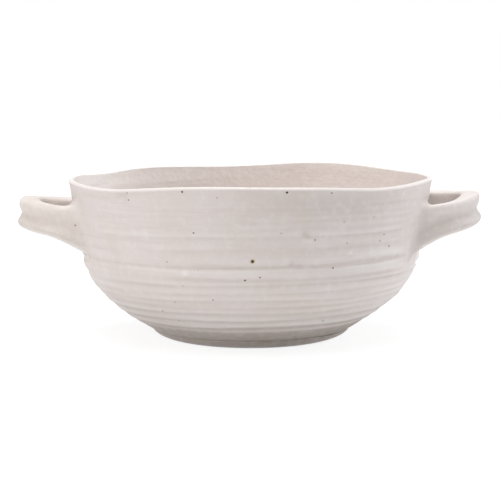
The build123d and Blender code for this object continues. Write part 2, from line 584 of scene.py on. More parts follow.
@dataclass
class Bowl:
    """The thrown bowl: outer wall with throwing rings, rounded uneven lip, inner wall and floor.

    The outer wall is a cone above the shoulder, and below it the cone is drawn in by a power of the depth,
    down to where the foot joins. Radii, heights, thicknesses, depths, widths and pitches are in mm. The
    fades are steps over shares of the wall's height or of the way down inside, and the waves are the
    unevenness of hand work.

    Attributes:
        haunch_knee: Pull of the inner wall on the haunch's curve, as a share of its fall.
        floor_run: Pull of the floor on that curve, in mm.
        floor_hole, under_hole: Shares of the radius within which a fan closes the floor and the underside.
        ring_tilt: How far the rings climb to the right, in mm.
        undercut: Width of a ring's underside as a share of its upper slope's.
        groove_gain: Share by which the narrow groove deepens to the right.
        root_turn: Place of a strap's root, in degrees from the strap's middle.
        root_level: Height of the root's middle, in mm.
        root_stretch: How much further the smoothing reaches up the wall than along it.
        root_reach: Distances from a root over which the rings come back, in mm.
        shade: Painted light and shade in the colour of its glaze, with glaze gathered under the rings.
        ray_start: Where the search for a pixel's place starts, in rim radii before the axis.
        ray_steps: How many places that search tries.
    """

    rim_radius: float = 85.0
    height: float = 76.0
    shoulder_radius: float = 78.8
    shoulder_height: float = 40.0
    haunch_height: float = 20.0
    haunch_knee: float = 0.62
    belly_power: float = 2.15
    foot_join_radius: float = 46.5
    foot_height: float = 5.0
    wall_thickness: float = 4.6
    rim_thickness: float = 2.2
    lip_round: float = 0.75
    floor_thickness: float = 6.0
    floor_flat_radius: float = 32.0
    floor_run: float = 14.0
    floor_hole: float = 0.06
    under_hole: float = 0.2
    spiral_depth: float = 0.25
    spiral_pitch: float = 9.0
    spiral_edge: Step = Step(1.0, 0.75)
    spiral_middle: Step = Step(0.0, 0.3)
    ring_tilt: float = 1.1
    ring_wander: Waves = Waves(0.35, 40, 7)
    ring_uneven: Waves = Waves(0.25, 70, 9)
    undercut: float = 0.6
    groove_height: float = 41.0
    groove_depth: float = 0.42
    groove_width: float = 0.75
    groove_gain: float = 0.45
    groove_wander: Waves = Waves(0.25, 21, 8)
    broad_waves: Waves = Waves(0.15, 5, 6, 45.0)
    fine_waves: Waves = Waves(0.05, 6, 40, 9.0)
    inner_waves: Waves = Waves(0.18, 8, 5, 14.0)
    foot_fade: Step = Step(0.0, 0.04)
    lip_fade: Step = Step(1.0, 0.93)
    inner_fade: Step = Step(0.0, 0.1)
    root_turn: float = 22.0
    root_level: float = 54.0
    root_stretch: float = 1.5
    root_reach: Step = Step(8.0, 24.0)
    shade: BowlPaintedLightAndShade = BowlPaintedLightAndShade()
    ray_start: float = 1.5
    ray_steps: int = 6000
    columns: int = 456
    wall_rows: int = 112
    lip_rows: int = 14
    inner_rows: int = 50
    haunch_rows: int = 22
    floor_rows: int = 10
    under_rows: int = 3

    def cone(self) -> float:
        """Run of the conical wall per rise."""
        return (self.rim_radius - self.shoulder_radius) / (self.height - self.shoulder_height)

    def belly(self, height: np.ndarray) -> tuple[float, float, np.ndarray]:
        """Measures of the belly, where the wall is drawn in from the cone.

        Args:
            height: Height, in mm.

        Returns:
            How tall the belly is and how far its foot is drawn in, in mm, and the depth below the shoulder
            as a share of the belly.
        """
        span = self.shoulder_height - self.foot_height
        drop = self.shoulder_radius - self.cone() * span - self.foot_join_radius
        return span, drop, np.clip((self.shoulder_height - height) / span, 0.0, None)

    def slope(self, height: np.ndarray) -> np.ndarray:
        """Run of the smooth wall per rise: the derivative of its radius by height."""
        span, drop, depth = self.belly(height)
        return self.cone() + drop * self.belly_power * depth ** (self.belly_power - 1.0) / span

    def cone_radius(self, height: np.ndarray) -> np.ndarray:
        """Radius of the cone at a height."""
        return self.shoulder_radius + self.cone() * (height - self.shoulder_height)

    def smooth_radius(self, height: np.ndarray) -> np.ndarray:
        """Radius of the smooth outer wall: the cone less its drop times depth to the belly's power."""
        _, drop, depth = self.belly(height)
        return self.cone_radius(height) - drop * depth**self.belly_power

    def lip_wave(self, angle: np.ndarray) -> np.ndarray:
        """Height of the lip above the even one, in mm: the sum of its bends."""
        return sum((bend.round(angle) for bend in LIP_BENDS), np.zeros_like(angle))

    def ring_relief(self, angle: np.ndarray, height: np.ndarray) -> np.ndarray:
        """How far the throwing rings stand out of the smooth wall.

        Each ring is a bell curve of the height above its crest, with a steeper underside. The crests
        tilt up to the right, and one narrow groove runs below the strongest of them.

        Args:
            angle: Angle round the bowl, in radians.
            height: Height, in mm.

        Returns:
            Relief in mm.
        """
        rightward = np.cos(angle)
        tilt = self.ring_tilt * rightward
        total = np.zeros(np.broadcast(angle, height).shape)
        for number, ring in enumerate(RINGS):
            uneven = 1.0 + ring.gain * rightward + self.ring_uneven.at(angle, number=number)
            above = height - ring.height - tilt - self.ring_wander.at(angle, number=number)
            width = np.where(above > 0.0, ring.width, ring.width * self.undercut)
            total = total + ring.rise * uneven * bell(above, width)
        strength = self.groove_depth * (1.0 + self.groove_gain * rightward)
        away = height - self.groove_height - tilt - self.groove_wander.at(angle)
        return total - strength * bell(away, self.groove_width)

    def smoothed(self, angle: np.ndarray, height: np.ndarray) -> np.ndarray:
        """Share of the rings that fingers left when they smoothed the wall round the handles' roots.

        It is the product of smooth steps of the distance from each root.

        Args:
            angle: Angle round the bowl, in radians.
            height: Height, in mm.

        Returns:
            Share from 0 at a root to 1 away from all of them.
        """
        left = np.ones(np.broadcast(angle, height).shape)
        for middle in (0.0, np.pi):
            for turn in (-self.root_turn, self.root_turn):
                away = turn_from(np.radians(turn), angle - middle) * self.shoulder_radius
                span = np.hypot(away, (height - self.root_level) / self.root_stretch)
                left = left * self.root_reach.at(span)
        return left

    def rings(self, angle: np.ndarray, height: np.ndarray) -> np.ndarray:
        """Relief of the rings in mm, less what fingers smoothed away."""
        return self.ring_relief(angle, height) * self.smoothed(angle, height)

    def dents(self, angle: np.ndarray, height: np.ndarray, view: Viewpoint) -> np.ndarray:
        """Small dents and bumps of the front: bell curves of the distance along the wall.

        Args:
            angle: Angle round the bowl, in radians.
            height: Height, in mm.
            view: The camera, which places them.

        Returns:
            Relief in mm.
        """
        total = np.zeros(np.broadcast(angle, height).shape)
        for mark in DENTS:
            x, y, z = self.front_point(mark.column, mark.row, view)
            away = turn_from(np.arctan2(y, x), angle) * np.hypot(x, y)
            total = total - mark.strength * bell(np.hypot(away, height - z), mark.size)
        return total

    def soft(self, angle: np.ndarray, height: np.ndarray) -> np.ndarray:
        """Slow unevenness of the wall in mm: its swells, and waves of two sizes."""
        waves = self.broad_waves.at(angle, height) + self.fine_waves.at(angle, height)
        return waves + sum_swells(SWELLS, angle, height)

    def outside(self, points: np.ndarray) -> np.ndarray:
        """How far points lie outside the uneven wall, level with them.

        Args:
            points: Points in mm.

        Returns:
            Distances in mm, below 0 within the wall.
        """
        x, y, height = np.moveaxis(points, -1, 0)
        angle = np.arctan2(y, x)
        smooth = np.hypot(x, y) - self.smooth_radius(height)
        return smooth - self.rings(angle, height) - self.soft(angle, height)

    def front_point(self, column: float, row: float, view: Viewpoint) -> np.ndarray:
        """Place on the uneven outer wall that a pixel of the picture shows.

        Args:
            column: Pixel column.
            row: Pixel row.
            view: The camera.

        Returns:
            The nearest point of the pixel's ray that lies within the wall, in mm.
        """
        start = view.distance - self.ray_start * self.rim_radius
        reach = np.linspace(start, view.distance + self.rim_radius, self.ray_steps)
        points = view.place() + reach[:, None] * view.ray(column, row)
        return points[np.argmax(self.outside(points) < 0.0)]

    def profile(self, view: Viewpoint) -> tuple[np.ndarray, dict[str, np.ndarray]]:
        """Work out the whole skin, row by row from the middle of the underside to the middle of the floor.

        Args:
            view: The camera, which places the marks on the front.

        Returns:
            The grid of points, and the fields ridge, lip and inner for the finish.
        """
        angle = np.linspace(0.0, FULL_TURN, self.columns, endpoint=False)[None, :]
        crest = self.height + self.lip_wave(angle) - self.lip_round

        # Outer wall, from the foot to the base of the lip
        share = np.linspace(0.0, 1.0, self.wall_rows)[:, None]
        wall_height = self.foot_height + (crest - self.foot_height) * share
        fade = self.foot_fade.at(share) * self.lip_fade.at(share)
        marks = self.dents(angle, wall_height, view)
        relief = self.rings(angle, wall_height) + marks
        wall_radius = self.smooth_radius(wall_height) + fade * (relief + self.soft(angle, wall_height))

        # Inner wall, one wall thickness in along the wall's own square, thinner toward the lip
        fall = np.linspace(0.0, 1.0, self.inner_rows)[:, None]
        level = crest + (self.haunch_height - crest) * fall
        thin = np.clip((level - self.shoulder_height) / (self.height - self.shoulder_height), 0.0, 1.0)
        thickness = self.wall_thickness + (self.rim_thickness - self.wall_thickness) * thin
        lean = self.slope(level)
        square = np.sqrt(1.0 + lean**2)
        ripple = self.inner_waves.at(angle, level) * self.inner_fade.at(fall)
        inner_radius = self.smooth_radius(level) - thickness / square + ripple
        inner_height = level + thickness * lean / square

        # Lip, a half ellipse from the outer wall over to the inner one
        over = np.linspace(0.0, np.pi, self.lip_rows + 2)[1:-1, None]
        middle_radius = (wall_radius[-1] + inner_radius[0]) / 2
        middle_height = (wall_height[-1] + inner_height[0]) / 2
        half_radius = (wall_radius[-1] - inner_radius[0]) / 2
        half_height = (wall_height[-1] - inner_height[0]) / 2
        lip_radius = middle_radius + half_radius * np.cos(over)
        lip_height = middle_height + half_height * np.cos(over) + self.lip_round * np.sin(over)

        # Haunch, a cubic Bezier curve from the inner wall to the flat of the floor
        floor_top = self.foot_height + self.floor_thickness
        flat_radius = self.floor_flat_radius
        turn = np.linspace(0.0, 1.0, self.haunch_rows + 1)[1:, None]
        start_radius, start_height = inner_radius[-1], inner_height[-1]
        reach = (start_height - floor_top) * self.haunch_knee
        knots = (start_radius, start_radius - reach * lean[-1], flat_radius + self.floor_run, flat_radius)
        haunch_radius = bezier(turn, knots)
        haunch_height = bezier(turn, (start_height, start_height - reach, floor_top, floor_top))

        # Floor, flat with a shallow finger spiral, and underside
        inward = np.linspace(1.0, self.floor_hole, self.floor_rows + 1)[1:, None]
        floor_radius = flat_radius * inward
        spiral = self.spiral_depth * np.cos(FULL_TURN * floor_radius / self.spiral_pitch - angle)
        floor_height = floor_top + spiral * self.spiral_edge.at(inward) * self.spiral_middle.at(inward)
        outward = np.linspace(self.under_hole, 1.0, self.under_rows + 1)[:-1, None]
        under_radius = self.foot_join_radius * outward
        under_height = 0.0 * angle + self.foot_height

        radii = (under_radius, wall_radius, lip_radius, inner_radius, haunch_radius, floor_radius)
        heights = (under_height, wall_height, lip_height, inner_height, haunch_height, floor_height)
        points = np.vstack([revolve_points(radius, height, angle) for radius, height in zip(radii, heights)])

        # Fields for the finish: ridge holds painted light and shade with glaze gathered under the rings
        wall = slice(self.under_rows, self.under_rows + self.wall_rows)
        edge = slice(wall.stop, wall.stop + self.lip_rows)
        inside = slice(edge.stop, edge.stop + self.inner_rows)
        overhang = np.gradient(fade * relief, axis=0) / np.gradient(wall_height, axis=0)
        ridge = np.full(points.shape[:2], PLAIN_RIDGE)
        ridge[wall] = self.shade.wall(angle, wall_height, overhang, marks)
        # Painted light inside at the left and painted shade at the rear right
        ridge[inside] = self.shade.inside(angle, fall)
        # The lip is pale, partly as a painted highlight
        lip = np.zeros(points.shape[:2])
        lip[wall] = self.shade.lip_step.at(share)
        lip[edge] = 1.0
        inner = np.zeros(points.shape[:2])
        inner[edge.stop :] = 1.0 - self.shade.left_smooth.round(angle)
        return points, {"ridge": ridge, "lip": lip, "inner": inner}

    def build(self, view: Viewpoint, finish: bpy.types.Material) -> bpy.types.Object:
        """Make the bowl.

        Args:
            view: The camera, which places the marks on the front.
            finish: Its glaze.

        Returns:
            The piece.
        """
        points, fields = self.profile(view)
        bottom = np.array([0.0, 0.0, self.foot_height])
        floor = np.array([0.0, 0.0, points[-1, :, 2].mean()])
        piece = grid_object("bowl", points, poles=(bottom, floor), fields=fields)
        settle(piece, "bowl_body", finish)
        return piece


@dataclass
class FootRing:
    """The low foot: a ring with a rolled outer edge, a flat to stand on and a plain inner wall.

    Attributes are sizes in mm. The roll's curve is drawn along the table by roll_share of its run, and at
    its top toward a point roll_drop below and roll_inset inside the edge. Painted light makes the glaze pale
    from painted_light_height down to painted_light_full, against the shadow where it meets the table, and the
    ring reaches further to the right above lift_from.
    """

    top_radius: float = 46.7
    contact_radius: float = 33.5
    inner_radius: float = 28.0
    height: float = 5.0
    roll_share: float = 0.5
    roll_inset: float = 0.9
    roll_drop: float = 2.6
    right_reach: float = 0.35
    lift_from: float = 0.5
    uneven: Waves = Waves(0.12, 11, 6)
    painted_light_height: float = 2.2
    painted_light_full: float = 0.2
    columns: int = 300
    roll_rows: int = 22
    flat_rows: int = 5

    def build(self, finish: bpy.types.Material) -> bpy.types.Object:
        """Make the foot.

        The rolled edge is a cubic Bezier curve that leaves the table level and ends steep.

        Args:
            finish: Its glaze.

        Returns:
            The piece.
        """
        angle = np.linspace(0.0, FULL_TURN, self.columns, endpoint=False)[None, :]
        turn = np.linspace(0.0, 1.0, self.roll_rows)
        leave = self.contact_radius + self.roll_share * (self.top_radius - self.contact_radius)
        knots = (self.contact_radius, leave, self.top_radius - self.roll_inset, self.top_radius)
        roll_radius = bezier(turn, knots)
        roll_height = bezier(turn, (0.0, 0.0, self.height - self.roll_drop, self.height))
        step = np.linspace(0.0, 1.0, self.flat_rows + 1)[:-1]
        contact = self.inner_radius + (self.contact_radius - self.inner_radius) * step
        top = self.top_radius + (self.inner_radius - self.top_radius) * step[1:]
        radius = np.concatenate([contact, roll_radius, top, np.full(self.flat_rows, self.inner_radius)])
        height = np.concatenate([0 * contact, roll_height, 0 * top + self.height, self.height * (1.0 - step)])
        radius, height = radius[:, None], height[:, None]
        uneven = self.uneven.at(angle) + self.right_reach * np.cos(angle)
        lift = Step(self.lift_from, self.height).at(height)
        points = revolve_points(radius + uneven * lift, height, angle)
        # Painted light, paler toward the table, against the foot's shadow there
        pale = Step(self.painted_light_height, self.painted_light_full).at(height) + 0.0 * angle
        ridge = PLAIN_RIDGE + (1.0 - PLAIN_RIDGE) * pale
        piece = grid_object("foot", points, closed_rows=True, fields={"ridge": ridge})
        settle(piece, "foot_ring", finish)
        return piece


@dataclass
class StrapHandle:
    """A pulled clay strap bent into a flat loop, both ends sunk a little into the wall.

    Attributes are sizes in mm. The drops are depths of the strap's top edge below the lip's height, at
    its tip and at its two roots. The section is a rounded oblong with a finger groove in its outer face
    and a full ridge under the groove, and it grows toward the roots. Bands and steps on the section are
    shares of its half height or half thickness, or cosines and sines of the angle round it. The corners
    are powers of its outline, root_plain is the share of the relief that is lost at the roots,
    uneven_along and uneven_up stretch the waves, and uneven_lift is the share of them that lifts the
    strap. The glaze's colour round the section holds painted highlights at the top edge, its inner corner
    and the bottom edge, painted light on the upper outer face, painted shade high on the inner face and
    on the outer face at the tip, and in the finger groove and under it glaze gathered there together with
    painted shade. tip_share is what is left of the top edge's painted highlight at the tip, and tip_power
    is how closely the painted shade at the tip keeps to the tip.
    """

    side: Side
    bowl: Bowl
    tip_drop: float
    front_drop: float
    rear_drop: float
    root: float = 68.0
    tip: float = 104.0
    half_width: float = 29.0
    thickness: float = 9.2
    height: float = 14.4
    root_thickness: float = 10.0
    root_height: float = 21.5
    flare_power: float = 11.0
    upper_corner: float = 0.42
    lower_corner: float = 0.52
    drop_power: float = 1.42
    groove: float = 1.4
    groove_band: Band = Band(-0.02, 0.32)
    lower_ridge: float = 1.12
    ridge_band: Band = Band(-0.58, 0.36)
    relief_step: Step = Step(0.0, 0.75)
    root_plain: float = 0.8
    top_slope: float = 0.95
    uneven: Waves = Waves(0.16, 30, 3, 14.0)
    uneven_along: float = 3.0
    uneven_up: float = 9.0
    uneven_lift: float = 0.5
    # Painted highlights at the edges and painted light on the upper outer face
    edge_painted_highlight: float = 0.25
    edge_step: Step = Step(0.88, 1.0)
    inner_edge_painted_highlight: float = 0.60
    inner_edge_step: Step = Step(0.5, 0.95)
    inward_step: Step = Step(-0.4, 0.4)
    base_painted_highlight: float = 0.80
    base_step: Step = Step(0.40, 1.0)
    face_painted_light: float = 0.20
    face_band: Band = Band(0.45, 0.35)
    face_step: Step = Step(0.3, 0.8)
    # Glaze gathered in the groove and under it with painted shade; painted shade on the inner face and tip
    groove_gathered_and_shade: float = 0.08
    groove_tint_band: Band = Band(-0.13, 0.16)
    lobe_gathered_and_shade: float = 0.22
    lobe_band: Band = Band(-0.45, 0.30)
    inner_painted_shade: float = 0.10
    inner_band: Band = Band(0.5, 0.4)
    tip_share: float = 0.15
    tip_painted_shade: float = 0.0
    tip_power: int = 4
    sink: float = 1.0
    search_from: float = 0.3
    halvings: int = 26
    rows: int = 150
    columns: int = 96

    def around(self) -> np.ndarray:
        """Angles round the section, from its top edge over the outer face."""
        return np.linspace(0.0, FULL_TURN, self.columns, endpoint=False)

    def relief(self, up: np.ndarray) -> np.ndarray:
        """Relief of the outer face in mm by the share of the half height: a ridge less the groove."""
        return self.lower_ridge * self.ridge_band.at(up) - self.groove * self.groove_band.at(up)

    def section(self, around: np.ndarray) -> tuple[np.ndarray, np.ndarray]:
        """Outline of the section: a superellipse whose upper and lower corners differ.

        Args:
            around: Angle round the section in radians, 0 at its top edge.

        Returns:
            Shares of the half height and of the half thickness.
        """
        power = np.where(np.cos(around) > 0.0, self.upper_corner, self.lower_corner)
        up = np.sign(np.cos(around)) * np.abs(np.cos(around)) ** power
        out = np.sign(np.sin(around)) * np.abs(np.sin(around)) ** power
        return up, out

    def tint(self, turn: np.ndarray, around: np.ndarray) -> np.ndarray:
        """Painted light and shade on the strap, as an addition to the field ridge.

        Painted highlights make it pale at both edges, and painted light on the upper half of the outer face.
        It is dark in the finger groove and on the slope under it, by glaze gathered there together with
        painted shade, and high on the inner face by painted shade: a sum of steps and bell curves. The
        painted highlight on the top edge is weaker toward the tip, and painted shade can darken the outer
        face there.

        Args:
            turn: Turn along the loop in radians, 0 at the tip.
            around: Angle round the section in radians, 0 at its top edge.

        Returns:
            Addition, above 0 where painted light makes the glaze pale.
        """
        up = self.section(around)[0]
        upward, outward = np.cos(around), np.sin(around)
        inward = self.inward_step.at(-outward)
        top = self.edge_painted_highlight * (1.0 - inward) * self.edge_step.at(upward)
        top = top + self.inner_edge_painted_highlight * inward * self.inner_edge_step.at(upward)
        top = top * (self.tip_share + (1.0 - self.tip_share) * np.sin(turn) ** 2)
        base = self.base_painted_highlight * self.base_step.at(-upward)
        face = self.face_painted_light * self.face_band.at(up) - self.groove_gathered_and_shade * self.groove_tint_band.at(up)
        face = face - self.lobe_gathered_and_shade * self.lobe_band.at(up) - self.tip_painted_shade * np.cos(turn) ** self.tip_power
        inner = self.inner_painted_shade * self.inner_band.at(up) * self.face_step.at(-outward)
        return top + base + face * self.face_step.at(outward) - inner

    def place(self, turn: np.ndarray, around: np.ndarray, grow: float | np.ndarray = 0.0) -> np.ndarray:
        """Points of the strap's skin: the section carried along half an ellipse in plan.

        Args:
            turn: Turn along the loop in radians, 0 at the tip.
            around: Angle round the section in radians, 0 at its top edge.
            grow: How far the section is widened all round, in mm.

        Returns:
            Points in mm.
        """
        lean, across = np.sin(turn), np.cos(turn)
        sign = self.side.value
        flare = np.abs(lean) ** self.flare_power
        height = self.height + (self.root_height - self.height) * flare
        thickness = self.thickness + (self.root_thickness - self.thickness) * flare
        root_drop = np.where(sign * turn > 0.0, self.rear_drop, self.front_drop)
        top = self.bowl.height - self.tip_drop - (root_drop - self.tip_drop) * np.abs(lean) ** self.drop_power

        # Section: a superellipse with relief on its outer face, and its top edge sloped in to the bowl
        up, out = self.section(around)
        relief = self.relief(up) * self.relief_step.at(out) * (1.0 - self.root_plain * flare)
        slope = self.top_slope * (1.0 - out) / 2 * np.clip(up, 0.0, 1.0) ** 2
        uneven = self.uneven.at(self.uneven_along * turn, self.uneven_up * up, sign)
        outward = out * (thickness / 2 + grow) + relief + uneven * out
        upward = up * (height / 2 + grow) - slope + self.uneven_lift * uneven

        # Place in plan, along the loop and square to it
        run = self.tip - self.root
        length = np.hypot(self.half_width * across, run * lean)
        x = sign * (self.root + run * across + outward * self.half_width * across / length)
        y = sign * (self.half_width * lean + outward * run * lean / length)
        return np.stack(np.broadcast_arrays(x, y, top - height / 2 + upward), axis=-1)

    def turn_at(
        self,
        direction: int,
        clear: float | np.ndarray,
        around: np.ndarray,
        grow: float | np.ndarray = 0.0,
    ) -> np.ndarray:
        """Turn at which the strap's skin is a given distance outside the wall, found by halving.

        Args:
            direction: Sign of the turn, which picks the root.
            clear: Distance outside the wall, in mm.
            around: Angles round the section.
            grow: How far the section is widened all round, in mm.

        Returns:
            Turns in radians, one for each angle.
        """
        near = np.full(around.shape, self.search_from)
        far = np.full(around.shape, np.pi / 2)
        for _ in range(self.halvings):
            middle = (near + far) / 2
            gap = self.bowl.outside(self.place(direction * middle, around, grow))
            near = np.where(gap > clear, middle, near)
            far = np.where(gap > clear, far, middle)
        return direction * near

    def build(self, finish: bpy.types.Material) -> bpy.types.Object:
        """Make the strap.

        Args:
            finish: Its glaze.

        Returns:
            The piece.
        """
        around = self.around()
        start = self.turn_at(-1, -self.sink, around)
        end = self.turn_at(1, -self.sink, around)
        share = np.linspace(0.0, 1.0, self.rows)[:, None]
        turn = start + (end - start) * share
        points = self.place(turn, around)
        # Painted light and shade round the section, with glaze gathered in the groove
        ridge = np.clip(PLAIN_RIDGE + self.tint(turn, around), 0.0, 1.0)
        name = f"{self.side.name.lower()}_handle"
        poles = (points[0].mean(axis=0), points[-1].mean(axis=0))
        piece = grid_object(f"{name}_strap", points, poles=poles, fields={"ridge": ridge})
        settle(piece, name, finish)
        return piece


@dataclass
class Luting:
    """Soft clay smoothed round one root of a strap, from the strap over onto the wall.

    Attributes are sizes in mm: its least and most reach along the strap and width on the wall, the angle
    round the strap in degrees at which it is widest, how far its hidden edges are sunk in the clay, and
    the step over which the directions of its edges are measured. Fullness is the pull of these directions
    on its curve, and valley_gathered_and_shade the darkness in its hollow: glaze gathered there, together
    with painted shade.
    """

    strap: StrapHandle
    end: End
    least_reach: float = 2.5
    most_reach: float = 7.0
    least_width: float = 3.0
    most_width: float = 5.2
    widest_at: float = 110.0
    uneven: Waves = Waves(0.12, 90, 4)
    edge_sink: float = 0.03
    hidden_sink: float = 0.4
    edge_probe: float = 0.2
    fullness: float = 1.3
    valley_gathered_and_shade: float = 0.20
    rows: int = 120
    skin_columns: int = 18
    hidden_columns: int = 5

    def direction(self) -> int:
        """Sign of the strap's turn at this root."""
        return self.strap.side.value * self.end.value

    def line(self, around: np.ndarray, clear: float | np.ndarray, grow: float | np.ndarray) -> np.ndarray:
        """Points round the root at a distance clear outside the wall, on the strap widened by grow."""
        return self.strap.place(self.strap.turn_at(self.direction(), clear, around, grow), around, grow)

    def build(self, finish: bpy.types.Material) -> bpy.types.Object:
        """Make the luting.

        Its skin is a Hermite curve of the fifth degree at each angle round the strap. It leaves the strap
        along the loop and meets the wall along the wall, both without a bend at first, and the hidden back
        follows the strap and the wall just inside them.

        Args:
            finish: Its glaze.

        Returns:
            The piece.
        """
        around = np.linspace(0.0, FULL_TURN, self.rows, endpoint=False)
        uneven = 1.0 + self.uneven.at(around, number=self.direction())
        share = 0.5 + 0.5 * np.cos(around - np.radians(self.widest_at))
        reach = (self.least_reach + (self.most_reach - self.least_reach) * share) * uneven
        width = (self.least_width + (self.most_width - self.least_width) * share) * uneven

        # Edges on the strap and on the wall, the ways in which the skin leaves them, and the hidden corner
        first = self.line(around, reach, -self.edge_sink)
        first_way = self.line(around, reach - self.edge_probe, -self.edge_sink) - first
        last = self.line(around, -self.edge_sink, width)
        last_way = self.line(around, -self.edge_sink, width + self.edge_probe) - last
        corner = self.line(around, -self.hidden_sink, -self.hidden_sink)
        span = np.linalg.norm(last - first, axis=-1, keepdims=True) * self.fullness
        first_way = first_way / np.linalg.norm(first_way, axis=-1, keepdims=True) * span
        last_way = last_way / np.linalg.norm(last_way, axis=-1, keepdims=True) * span

        # Skin, then the back from the wall's edge to the corner and on to the strap's edge
        t = np.linspace(0.0, 1.0, self.skin_columns)[None, :, None]
        over = 10 * t**3 - 15 * t**4 + 6 * t**5
        curve = (1 - over) * first[:, None] + (t - 6 * t**3 + 8 * t**4 - 3 * t**5) * first_way[:, None]
        curve = curve + over * last[:, None] + (7 * t**4 - 4 * t**3 - 3 * t**5) * last_way[:, None]
        back = np.linspace(0.0, 1.0, self.hidden_columns + 1)[None, 1:, None]
        to_corner = last[:, None] + (corner - last)[:, None] * back
        to_first = corner[:, None] + (first - corner)[:, None] * back[:, :-1]
        points = np.concatenate([curve, to_corner, to_first], axis=1)

        # Fields for the finish: painted shade and gathered glaze in the hollow, the strap's painted light
        along = t[..., 0]
        valley = self.valley_gathered_and_shade * np.sin(np.pi * along) * share[:, None]
        strap_light_and_shade = self.strap.tint(np.pi / 2, around)[:, None] * (1 - along) ** 2
        ridge = np.full(points.shape[:2], PLAIN_RIDGE)
        ridge[:, : self.skin_columns] += strap_light_and_shade - valley
        ridge = np.clip(ridge, 0.0, 1.0)
        wall = np.zeros(points.shape[:2])
        wall[:, : self.skin_columns] = Step(0.0, 1.0).at(along)
        name = f"{self.strap.side.name.lower()}_{self.end.name.lower()}_luting"
        piece = grid_object(
            f"{name}_clay",
            points,
            closed_rows=True,
            fields={"ridge": ridge, "wall": wall},
            flipped=self.direction() > 0,
            flat_from=self.skin_columns - 1,
        )
        settle(piece, name, finish)
        return piece


@dataclass(frozen=True)
class Layer:
    """One layer of noise in the glaze.

    Attributes:
        scale: Features per metre.
        detail: Octaves of finer noise.
        low: Noise at which its mask is 0.
        high: Noise at which its mask is full.
        top: Full value of its mask, or its weight in the surface.
    """

    scale: float
    detail: float
    low: float = 0.0
    high: float = 1.0
    top: float = 1.0


class Nodes:
    """Adds shader nodes to one material or world and wires them."""

    def __init__(self, owner: bpy.types.ID) -> None:
        """Turn on the owner's nodes and start from none.

        Args:
            owner: The material or world.
        """
        owner.use_nodes = True
        self.tree = owner.node_tree
        self.tree.nodes.clear()

    def add(self, kind: str, inputs: dict[str | int, object], **settings: object) -> bpy.types.Node:
        """Add a node.

        Args:
            kind: Node type.
            inputs: Values, or the sockets linked to it, by socket name or number.
            settings: Properties of the node.

        Returns:
            The node.
        """
        node = self.tree.nodes.new(kind)
        for key, value in settings.items():
            setattr(node, key, value)
        for key, value in inputs.items():
            if isinstance(value, bpy.types.NodeSocket):
                self.tree.links.new(value, node.inputs[key])
            else:
                node.inputs[key].default_value = value
        return node

    def field(self, name: str) -> Socket:
        """Value of one of the piece's own fields."""
        return self.add("ShaderNodeAttribute", {}, attribute_name=name).outputs["Fac"]

    def place(self) -> Socket:
        """Place on the piece, as Object coordinates."""
        return self.add("ShaderNodeTexCoord", {}).outputs["Object"]

    def math(self, operation: str, first: object, second: object = 0.0) -> Socket:
        """Result of one operation on two numbers or sockets."""
        return self.add("ShaderNodeMath", {0: first, 1: second}, operation=operation).outputs[0]

    def noise(self, coordinate: Socket, layer: Layer) -> Socket:
        """Noise of a layer, of about 0.3 to 0.7."""
        inputs = {"Scale": layer.scale, "Detail": layer.detail, "Roughness": NOISE_ROUGHNESS}
        return self.add("ShaderNodeTexNoise", {"Vector": coordinate, **inputs}).outputs[0]

    def mask(self, coordinate: Socket, layer: Layer) -> Socket:
        """Mask of a layer: a smooth step of its noise."""
        return self.ramp(self.noise(coordinate, layer), layer.low, layer.high, layer.top)

    def weighted(self, coordinate: Socket, layer: Layer) -> Socket:
        """Noise of a layer times its weight."""
        return self.math("MULTIPLY", self.noise(coordinate, layer), layer.top)

    def ramp(self, value: Socket, low: object, high: object, top: object = 1.0) -> Socket:
        """Smooth step of a value from 0 at low to top at high."""
        inputs = {"Value": value, "From Min": low, "From Max": high, "To Max": top}
        return self.add("ShaderNodeMapRange", inputs, interpolation_type="SMOOTHSTEP").outputs[0]

    def stretch(
        self, value: Socket, low: float, high: float, bottom: float = 0.0, top: float = 1.0
    ) -> Socket:
        """Straight ramp of a value from bottom at low to top at high."""
        inputs = {"Value": value, "From Min": low, "From Max": high, "To Min": bottom, "To Max": top}
        return self.add("ShaderNodeMapRange", inputs).outputs[0]

    def mix(self, share: object, first: object, second: object) -> Socket:
        """Blend of two colours."""
        inputs = {0: share, 6: first, 7: second}
        return self.add("ShaderNodeMix", inputs, data_type="RGBA").outputs[2]

    def seen(self) -> Socket:
        """Value that is 1 for rays of the camera, of gloss and through glass, and 0 for other light.

        Returns:
            The greatest of the three Light Path values.
        """
        rays = self.add("ShaderNodeLightPath", {}).outputs
        direct = self.math("MAXIMUM", rays["Is Camera Ray"], rays["Is Transmission Ray"])
        return self.math("MAXIMUM", direct, rays["Is Glossy Ray"])


@dataclass(frozen=True)
class SpeckPlace:
    """Place of one iron speck on the clay: a point in mm, a radius in mm and a darkness from 0 to 1."""

    point: tuple[float, float, float]
    size: float
    strength: float


